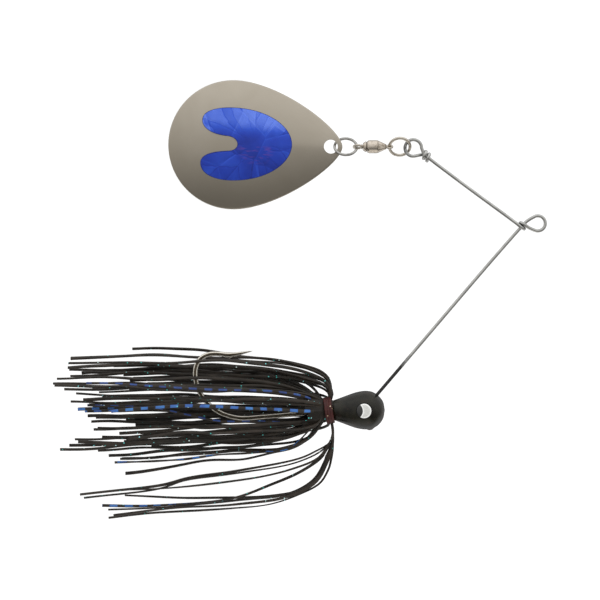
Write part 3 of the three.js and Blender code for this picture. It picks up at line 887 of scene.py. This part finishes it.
# Strands with a course of their own: depth at the tip, how it turns if it is barred, width against the
# others, whether it is folded, and (x, z) points from the band to the tip.
OWN_COURSE = [
    (-14.0, "rolling", 0.8, 0,
     [(-67.7, -48.9), (-75.4, -47.7), (-85.1, -47.3), (-102.2, -46.5), (-119.4, -45.3), (-127.7, -45.2)]),
    (-13.0, "facing", 1.1, 0,
     [(-67.1, -53.3), (-75.4, -52.7), (-92.2, -51.9), (-102.2, -51.6), (-112.0, -52.2), (-120.8, -53.0)]),
    (-9.5, "aslant", 0.9, 0,
     [(-69.4, -56.7), (-80.0, -56.4), (-90.0, -56.2), (-99.0, -54.6), (-109.4, -52.5), (-127.8, -51.5)]),
    (-5.0, "in and out", 0.8, 0,
     [(-71.1, -64.2), (-77.4, -65.0), (-91.7, -65.9), (-102.2, -67.3), (-120.5, -67.9)]),
    (-2.0, None, 0.8, 1,
     [(-60.8, -63.6), (-62.8, -64.7), (-67.9, -67.0), (-85.1, -70.5), (-99.9, -72.7), (-107.1, -74.5),
      (-130.6, -77.3)]),
    (1.5, None, 0.72, 1,
     [(-60.9, -64.2), (-63.4, -66.0), (-70.0, -68.6), (-85.1, -71.3), (-100.8, -73.6), (-107.9, -75.9),
      (-129.8, -78.5)]),
    (-3.5, None, 0.7, 1,
     [(-60.5, -64.2), (-62.8, -67.0), (-70.8, -70.2), (-87.9, -73.6), (-107.1, -75.5), (-119.4, -75.9)]),
    (3.0, None, 0.85, 1,
     [(-60.2, -66.2), (-62.2, -71.9), (-67.9, -76.2), (-75.1, -77.9), (-96.5, -78.7), (-118.2, -77.9)]),
    (0.5, "at its tip", 0.95, 1,
     [(-60.7, -65.0), (-61.9, -66.9), (-67.9, -71.0), (-76.5, -74.7), (-87.9, -78.7), (-109.4, -80.7),
      (-124.5, -80.6)]),
    (4.5, None, 0.78, 1,
     [(-60.4, -67.0), (-64.0, -73.2), (-72.0, -77.6), (-85.1, -79.3), (-107.9, -81.5), (-123.1, -82.2)]),
    (-1.5, None, 0.85, 1,
     [(-60.1, -68.0), (-63.4, -73.8), (-72.0, -78.2), (-86.0, -80.2), (-102.2, -81.0), (-121.1, -83.3)]),
    (2.0, None, 0.72, 1,
     [(-59.9, -70.5), (-62.2, -74.2), (-67.9, -77.3), (-76.5, -80.2), (-87.9, -81.6), (-110.8, -83.0),
      (-122.8, -84.3)]),
]
# Hidden strands fill the bundle: the heights of the first and last tip, how many there are, and about how far
# the bundle reaches up and down from its axis. Tips nearer the axis than INSIDE are in the inner tufts.
CORE_TOP, CORE_BOTTOM = -40.5, -64.5
HIDDEN_STRANDS = 31
BUNDLE_HALF = 17
INSIDE = 9
# Half a strand's width, its thickness against its width, and how far strands wander in the bundle and on a
# course of their own.
STRAND = {"width": 0.48, "thin": 0.62, "wave": 0.55, "own_wave": 0.12}
# Where a strand starts, against the middle of the band.
FOLDED_START, TRAILING_START = -1.4, 1.2
# How far a strand has spread, as a share of its tip's distance from the axis, at each distance from the band.
FOLDED_SPREAD = [
    (0.35, 0.0), (1.15, 0.13), (1.15, 0.28), (0.4, 0.44), (-1.4, 0.575), (-4.4, 0.68), (-10, 0.79),
    (-15.6, 0.86), (-21.6, 0.9), (-42, 0.965),
]
TRAILING_SPREAD = [
    (-0.4, 0.0), (-1.9, 0.03), (-3.4, 0.2), (-5.6, 0.42), (-9, 0.62), (-14, 0.77), (-21, 0.88), (-32, 0.96),
    (-46, 1.0),
]
# The same for folded strands with a course of their own, up to the first point of that course.
OWN_FOLD = [(0.35, 0), (1.15, 0.3), (1.2, 0.55), (0.4, 0.85)]


def turned_by(direction, angle):
    c, s = math.cos(angle), math.sin(angle)
    return np.array([direction[0] * c - direction[1] * s, direction[0] * s + direction[1] * c])


def bundle_route(x, z, y, raised, folded, rng):
    """A strand's points as (x from the band, y, height over the axis), spreading from its root to its tip."""
    end = np.array([y, z - HEAD_Z])
    distance = np.linalg.norm(end)
    direction = end / max(distance, 0.1)
    if folded:
        root = rng.uniform(2.35, 2.95) * turned_by(direction, rng.uniform(-0.2, 0.2))
    else:
        root = (1.75 + min(distance / 16, 1) * 1.15) * turned_by(direction, rng.uniform(-0.5, 0.5))
    points = [(FOLDED_START if folded else TRAILING_START, *root)]
    # How far back the spread reaches, how far a fold juts forwards, and how round the fold is: a fold that
    # juts less stays closer to the band.
    stretch = rng.uniform(0.65, 1.5)
    jut = rng.uniform(0.05, 1.0)
    fullness = 1.35 - 0.6 * jut if folded else 1
    place = x - BAND["x"]
    for dx, share in FOLDED_SPREAD if folded else TRAILING_SPREAD:
        dx = dx * stretch if dx < 0 else dx * jut
        if dx < place * 0.7:
            break
        share = share**fullness
        spread = root * (1 - share) + share * end
        bow = raised * math.sin(math.pi * min(max(0, dx / place), 1)) * min(share * 1.3, 1)
        points.append((dx, spread[0], spread[1] + bow))
    points.append((place * 0.84, end[0], end[1] + raised * 0.35))
    points.append((place, *end))
    return points


def own_route(depth, folded, course, rng):
    """The same for a strand that follows its own course."""
    first = course[0][1] - HEAD_Z
    side = depth / (course[-1][1] - HEAD_Z + 1e-6)
    lean = math.atan(min(max(side, -0.5), 0.5))
    root = rng.uniform(2.4, 2.9) * np.array([math.sin(lean), math.cos(lean)]) * (1 if first > 0 else -1)
    if abs(first) < 3:
        root = np.array([-2.8, first])
    points = [(FOLDED_START if folded else TRAILING_START, *root)]
    if folded:
        wider = abs(first) / 2.7 - 1
        points += [(dx, *(root * (1 + share * wider))) for dx, share in OWN_FOLD]
    else:
        points.append((-2.0, *root))
    far = course[-1][0] - BAND["x"]
    for x, z in course:
        share = min((x - BAND["x"]) / far, 1) ** (0.4 if depth < -10 else 0.6)
        points.append((x - BAND["x"], root[0] * (1 - share) + depth * share, z - HEAD_Z))
    return points


def wavy(points, size, rng):
    """Lets a strand wander sideways, more and more from the band to the middle, and little at the tip."""
    share = np.linspace(0, 1, len(points))
    grows = np.clip((share - 0.12) * 3, 0, 1) * (1 - 0.6 * share**3)
    for axis in (1, 2):
        for wave in (rng.uniform(1.2, 2.0), rng.uniform(2.6, 4.2)):
            swing = np.sin(2 * math.pi * wave * share + rng.uniform(0, 6.3))
            points[:, axis] += size / wave * grows * math.sqrt(1.6) * swing
    return points


def add_strand(shape, points, bars, size, wave, rng):
    points = [(BAND["x"] + x, y, HEAD_Z + z) for x, y, z in points]
    points = wavy(even(route(points, 8), 1.2), wave, rng)
    share = np.linspace(0, 1, len(points))
    width = STRAND["width"] * size * rng.uniform(0.92, 1.08)
    swell = 1 + 0.06 * np.sin(share * rng.uniform(9, 15) + rng.uniform(0, 6))
    radius = width * (0.8 + 0.2 * np.minimum(share * 6, 1)) * swell
    twist = TURNS[bars](share) if bars else rng.uniform(0, 3) + rng.uniform(-3.5, 3.5) * share
    look = "silicone" if not bars else "dull_bars" if bars in DULL else "barred"
    shape.sweep(points, radius, 10, STRAND["thin"], twist, 0.72, STRAND_LOOKS.index(look))


def all_strands(rng):
    """(depth and height of the tip, points, how its bars turn, size, wave) for every strand."""
    strands = []
    for rows, folded in ((FOLDED, True), (TRAILING, False)):
        for x, z, y, raised, barred in rows:
            points = bundle_route(x, z, y, raised, folded, rng)
            strands.append(((y, z), points, "at its tip" if barred else None, 1.0, STRAND["wave"]))
    for depth, bars, size, folded, course in OWN_COURSE:
        points = own_route(depth, folded, course, rng)
        strands.append(((depth, course[-1][1]), points, bars, size, STRAND["own_wave"]))
    for k in range(HIDDEN_STRANDS):
        z = CORE_TOP + (CORE_BOTTOM - CORE_TOP) * (k + 0.5) / HIDDEN_STRANDS + rng.uniform(-0.6, 0.6)
        half = math.sqrt(max(0.0, 1 - ((z - HEAD_Z) / BUNDLE_HALF) ** 2))
        y = rng.uniform(3, 13) * half
        points = bundle_route(rng.uniform(-129, -110), z, y, rng.uniform(-0.3, 0.9), k % 4 == 0, rng)
        strands.append(((y, z), points, None, 1.0, 0.7 * STRAND["wave"]))
    return strands


def make_skirt():
    """Tufts of neighbouring strands: 18 round the outside, then 12 inside."""
    rng = random.Random(SEEDS["skirt"])
    outer, inner = [], []
    for strand in all_strands(rng):
        y, z = strand[0]
        (outer if math.hypot(y, z - HEAD_Z) > INSIDE else inner).append(strand)
    for members, count, first in ((outer, 18, 1), (inner, 12, 19)):
        members.sort(key=lambda strand: math.atan2(strand[0][1] - HEAD_Z, strand[0][0]))
        for k in range(count):
            shape = Shape()
            start, end = (j * len(members) // count for j in (k, k + 1))
            for _, points, bars, size, wave in members[start:end]:
                add_strand(shape, points, bars, size, wave, rng)
            number = f"{first + k:02d}"
            tuft = shape.object("skirt_tuft_" + number, 50)
            piece(tuft, "wire_and_head", "dark_silicone", STRAND_LOOKS, "skirt_strand_" + number)


# The uncut tabs that the trailing strands are cut from: how many there are, how far back they reach from the
# band, how thick they are against their width, and (place from the band, distance from the axis, half the
# width) on the way.
TABS = {"count": 13, "reach": (6.0, 8.0), "thin": 0.17}
TAB_COURSE = [
    (0.8, 2.8, 1.0), (-1.2, 2.95, 1.1), (-2.4, 3.6, 1.3), (-4.2, 4.6, 1.5), (-6.0, 5.3, 1.6),
    (-8.0, 5.9, 1.3),
]


def make_tabs():
    rng = random.Random(SEEDS["tabs"])
    course = route(TAB_COURSE, 5)
    shape = Shape()
    for k in range(TABS["count"]):
        angle = 2 * math.pi * (k + rng.uniform(-0.2, 0.2)) / TABS["count"]
        out = np.array([0, math.cos(angle), math.sin(angle)])
        kept = course[course[:, 0] > -rng.uniform(*TABS["reach"])]
        points = [np.array([BAND["x"] + dx, 0, HEAD_Z]) + away * out for dx, away, _ in kept]
        shape.sweep(points, kept[:, 2], 16, TABS["thin"], power=0.8, start=out)
    # The tabs take a darker copy of the silicone, as painted shade in the crowded middle of the skirt.
    piece(shape.object("skirt_tabs", 50), "wire_and_head", "dark_silicone", ["tabs"])


# -------- Blade and inlay --------
BLADE = {"x": -87.0, "half_length": 18.6, "half_width": 18.45, "tip": -55.8, "thickness": 0.52}
CUP = {"depth": 3.6, "power": 2.2, "rim": 0.25}
HOLE = {"x": -59.13, "radius": 1.99}
# How far the blade's round end is raised about the hole, in degrees.
LIFT = 1.2
INLAY = {"thickness": 0.16, "forward": 0.4}
INLAY_RIM = {"inset": 0.05, "radius": 0.065}
# Depths well in front of the blade and behind it.
BEFORE, BEHIND = -8.0, 4.0


def bezier(p0, p1, p2, p3, count):
    u = np.arange(count)[:, None] / count
    p0, p1, p2, p3 = (np.array(p, float) for p in (p0, p1, p2, p3))
    return (1 - u) ** 3 * p0 + 3 * (1 - u) ** 2 * u * p1 + 3 * (1 - u) * u**2 * p2 + u**3 * p3


def blade_outline():
    """(x, z) round the blade from its top, over the round end, below, and along both sides of its tip."""
    x, a, b, tip = BLADE["x"], BLADE["half_length"], BLADE["half_width"], BLADE["tip"]
    angle = np.radians(np.linspace(90, 270, 60, endpoint=False))
    round_end = np.column_stack([x + a * np.cos(angle), b * np.sin(angle)])
    below = bezier((x, -b), (x + 13, -b), (tip, -5), (tip, 0), 60)
    above = bezier((tip, 0), (tip, 5), (x + 13, b), (x, b), 60)
    return np.vstack([round_end, below, above])


def hung(points):
    """Turns points in the blade's own plane about its hole, and moves them to the chain's height."""
    c, s = math.cos(math.radians(LIFT)), math.sin(math.radians(LIFT))
    p = np.array(points, float)
    x, z = p[:, 0] - HOLE["x"], p[:, 2]
    return np.column_stack([HOLE["x"] + x * c + z * s, p[:, 1], CHAIN_Z - x * s + z * c])


def at_depth(outline, y):
    """An outline of the blade's plane at one depth."""
    return hung(np.column_stack([outline[:, 0], np.full(len(outline), y), outline[:, 1]]))


def cup_y(share):
    return CUP["rim"] - CUP["depth"] * (1 - share ** CUP["power"])


def add_plate(shape, thickness, forward, rounding):
    """The cupped plate, from its middle in front, over the rim, to its middle behind.

    Its rim is rounded over rounding millimetres, of about 18 from the middle to the rim.
    """
    outline = blade_outline()
    centre = np.array([BLADE["x"], 0])
    shares = np.concatenate([[0.012], np.linspace(0.05, 0.95, 26), [0.975]])
    rim = [(-math.cos(t), math.sin(t)) for t in np.linspace(0, math.pi, 9)]
    levels = [(s, -0.5) for s in shares]
    levels += [(1 - (1 - out) * rounding / 18, 0.5 * up) for up, out in rim]
    levels += [(s, 0.5) for s in shares[::-1]]
    rows = [
        at_depth(centre + (outline - centre) * share, cup_y(share) - forward + level * thickness)
        for share, level in levels
    ]
    shape.grid(rows, np.arange(len(rows)) * 0.6)


def make_blade():
    shape = Shape()
    add_plate(shape, BLADE["thickness"], 0, 0.3)
    blade = outward(shape.object("blade_cupped", 50))
    drill = Shape()
    drill.lathe([(-6, 0), (-6, HOLE["radius"]), (6, HOLE["radius"]), (6, 0)], 96)
    drill.points = list(hung([(HOLE["x"] + x, y, z) for y, x, z in drill.points]))
    boolean(blade, outward(drill.object("tool")), "DIFFERENCE")
    smooth(blade.data, CUT_SHARP)
    piece(blade, "blade", "black_nickel", ["blade"], "blade")


def inlay_outline():
    """A horseshoe that opens towards the blade's round end."""
    corners = [
        ((-70.2, 0.2), (-70.4, 5.6), (-77.5, 10.4), (-87.6, 10.4)),
        ((-87.6, 10.4), (-91.5, 10.4), (-95.9, 9.6), (-95.9, 6.7)),
        ((-95.9, 6.7), (-95.9, 4.1), (-92.6, 2.5), (-88.6, 2.2)),
        ((-88.6, 2.2), (-85, 1.9), (-84.6, -1.9), (-88.4, -2)),
        ((-88.4, -2), (-92.6, -2.2), (-96.2, -3), (-96.2, -5.5)),
        ((-96.2, -5.5), (-96.2, -8.9), (-91.8, -10.4), (-87.3, -10.4)),
        ((-87.3, -10.4), (-77.5, -10.4), (-70.2, -5.4), (-70.2, 0.2)),
    ]
    return np.vstack([bezier(*c, 24) for c in corners])


def make_inlay():
    """Foil that follows the blade's cup, cut from a full plate by a prism with the horseshoe's outline."""
    plate = Shape()
    add_plate(plate, INLAY["thickness"], INLAY["forward"], 0.05)
    inlay = outward(plate.object("blade_inlay_foil", 50))
    outline = inlay_outline()
    n = len(outline)
    faces = [list(range(n)), list(range(2 * n - 1, n - 1, -1))]
    faces += [[k, n + k, n + (k + 1) % n, (k + 1) % n] for k in range(n)]
    data = bpy.data.meshes.new("tool")
    data.from_pydata([tuple(p * MM) for y in (BEFORE, BEHIND) for p in at_depth(outline, y)], [], faces)
    boolean(inlay, outward(new_object(data)), "INTERSECT")
    smooth(inlay.data, CUT_SHARP)
    piece(inlay, "blade", "blue_foil", ["foil"], "blade_inlay")
    make_inlay_edge(inlay, outline)


def make_inlay_edge(inlay, outline):
    """A thin dark rim laid along the front of the foil's outline."""
    ahead = np.roll(outline, -1, axis=0) - np.roll(outline, 1, axis=0)
    ahead /= np.linalg.norm(ahead, axis=1)[:, None]
    inside = outline + INLAY_RIM["inset"] * np.column_stack([-ahead[:, 1], ahead[:, 0]])
    rim = []
    bpy.context.view_layer.update()
    for start in at_depth(inside, BEFORE):
        hit, place, *_ = inlay.ray_cast(Vector(start * MM), Vector((0, 1, 0)))
        if hit:
            rim.append(np.array(place) / MM)
    edge = Shape()
    edge.sweep(rim, INLAY_RIM["radius"], 8, closed=True)
    piece(edge.object("blade_inlay_edge"), "blade", "blue_foil", ["foil_edge"])


# -------- Stage and light --------
FLOOR_Z = -0.165
FLOOR_RADIUS = 4.0
# How bright the studio tent is from the belly's side (0) to the back's side (1), round the camera. Beside and
# behind the lure it is evenly bright, and straight behind it is dim.
TENT = [(0.0, 0.85), (0.06, 0.5), (0.13, 0.12), (0.3, 0.27), (0.5, 0.52), (0.86, 0.94), (1.0, 1.08)]
TENT_BESIDE = 0.75
TENT_BEHIND = 0.38
TENT_WARM = 0.03
SURROUND = 1.12
# Where each softbox is and its size, in metres, and its power in watts. All point at the lure's middle.
SOFTBOXES = [
    ("softbox_top", (-0.25, -0.35, 0.6), (0.5, 0.35), 3.0),
    ("softbox_side", (0.45, -0.3, 0.1), (0.15, 0.5), 1.0),
]
LIT_POINT = (-0.07, 0, -0.02)


def make_stage():
    angles = np.linspace(0, 2 * math.pi, 64, endpoint=False)
    data = bpy.data.meshes.new("floor")
    ring = [(FLOOR_RADIUS * math.cos(a), FLOOR_RADIUS * math.sin(a), FLOOR_Z) for a in angles]
    data.from_pydata(ring, [], [list(range(len(ring)))])
    floor = bpy.data.objects.new("floor", data)
    scene.collection.objects.link(floor)
    look = Look("floor_paper")
    paper = look.mix(look.noise(look.place, 0.05, 3), (0.93, 0.93, 0.925), (0.95, 0.95, 0.945))
    floor.data.materials.append(look.finish(paper, 0.9))
    floor.visible_glossy = False


def make_world():
    """A bright plain surround. Reflections see a studio tent: lighter towards the lure's back than its belly,
    bright beside the lure, and dim straight behind it, so that rounded metal has thin dark edges."""
    world = bpy.data.worlds.new("studio")
    world.use_nodes = True
    scene.world = world
    nodes = Nodes(world.node_tree)
    x, y, _ = nodes.split(nodes.out("ShaderNodeTexCoord", output="Generated"))
    stops = []
    for at, bright in TENT:
        warm = TENT_WARM * (1 - at)
        stops.append((at, (bright, bright * (1 - warm), bright * (1 - 3 * warm))))
    round_camera = nodes.ramp(x.span(1, -1), *stops)
    colour = nodes.mix(y.span(0.0, 0.35, smooth=True), round_camera, (TENT_BESIDE,) * 3)
    strength = y.span(0.6, 0.9, 1, TENT_BEHIND, True)
    tent = nodes.out("ShaderNodeBackground", {"Color": colour, "Strength": strength})
    plain = nodes.out("ShaderNodeBackground", {"Color": (1, 1, 1), "Strength": SURROUND})
    glossy = nodes.out("ShaderNodeLightPath", output="Is Glossy Ray")
    both = nodes.out("ShaderNodeMixShader", {0: glossy, 1: plain, 2: tent})
    nodes.add("ShaderNodeOutputWorld", {"Surface": both})


def make_lights():
    """Softboxes that light the lure but don't show in its reflections."""
    for name, place, size, power in SOFTBOXES:
        data = bpy.data.lights.new(name, "AREA")
        data.shape = "RECTANGLE"
        data.size, data.size_y = size
        data.energy = power
        lamp = bpy.data.objects.new(name, data)
        lamp.location = hanging(place)
        lamp.rotation_euler = (hanging(LIT_POINT) - hanging(place)).to_track_quat("-Z", "Y").to_euler()
        lamp.visible_glossy = False
        scene.collection.objects.link(lamp)


# -------- The scene --------
# Seams of the swivel that get painted shade: a place along the lure and half a width.
SATIN_SEAMS = ((-48.93, 0.16), (-45.72, 0.09), (-43.3, 0.4))
# Light and dark shades of the two warm platings.
WARM, SATIN = ((0.74, 0.685, 0.605), (0.45, 0.4, 0.335)), ((0.76, 0.68, 0.585), (0.45, 0.385, 0.31))
LOOKS = {
    "wire": wire_look(),
    "nickel": plate_look("nickel_plate", *WARM, 0.13, 0.16),
    "satin_nickel": plate_look("satin_nickel_plate", *SATIN, 0.17, 0.16, 0.97, SATIN_SEAMS),
    "grey_nickel": plate_look("grey_nickel_plate", (0.5, 0.49, 0.465), (0.32, 0.315, 0.3), 0.2, 0.14),
    "ball": plate_look("bearing_steel", (0.66, 0.66, 0.66), (0.5, 0.5, 0.5), 0.1, 0.1),
    "hook": hook_look(),
    "blade": blade_look(),
    "foil": foil_look(),
    "foil_edge": foil_edge_look(),
    "paint": paint_look(),
    "eye": eye_look(),
    "band": band_look(),
    "silicone": silicone_look("dark_silicone"),
    # Painted shade: the uncut tabs get the silicone darkened to 0.55.
    "tabs": silicone_look("shaded_uncut_silicone", depth=0.55),
    "barred": silicone_look("barred_silicone", ((0.024, 0.062, 0.26), (0.045, 0.17, 0.42))),
    "dull_bars": silicone_look("dull_barred_silicone", ((0.014, 0.027, 0.11), (0.028, 0.07, 0.24))),
}

make_camera()
make_wire()
make_rings()
make_barrel()
make_cap()
make_end_eye()
make_spindle()
smooth_balls()
make_head()
make_eyes()
make_hook()
make_band()
make_skirt()
make_tabs()
make_blade()
make_inlay()
make_stage()
make_world()
make_lights()
scene.view_settings.view_transform = "Standard"
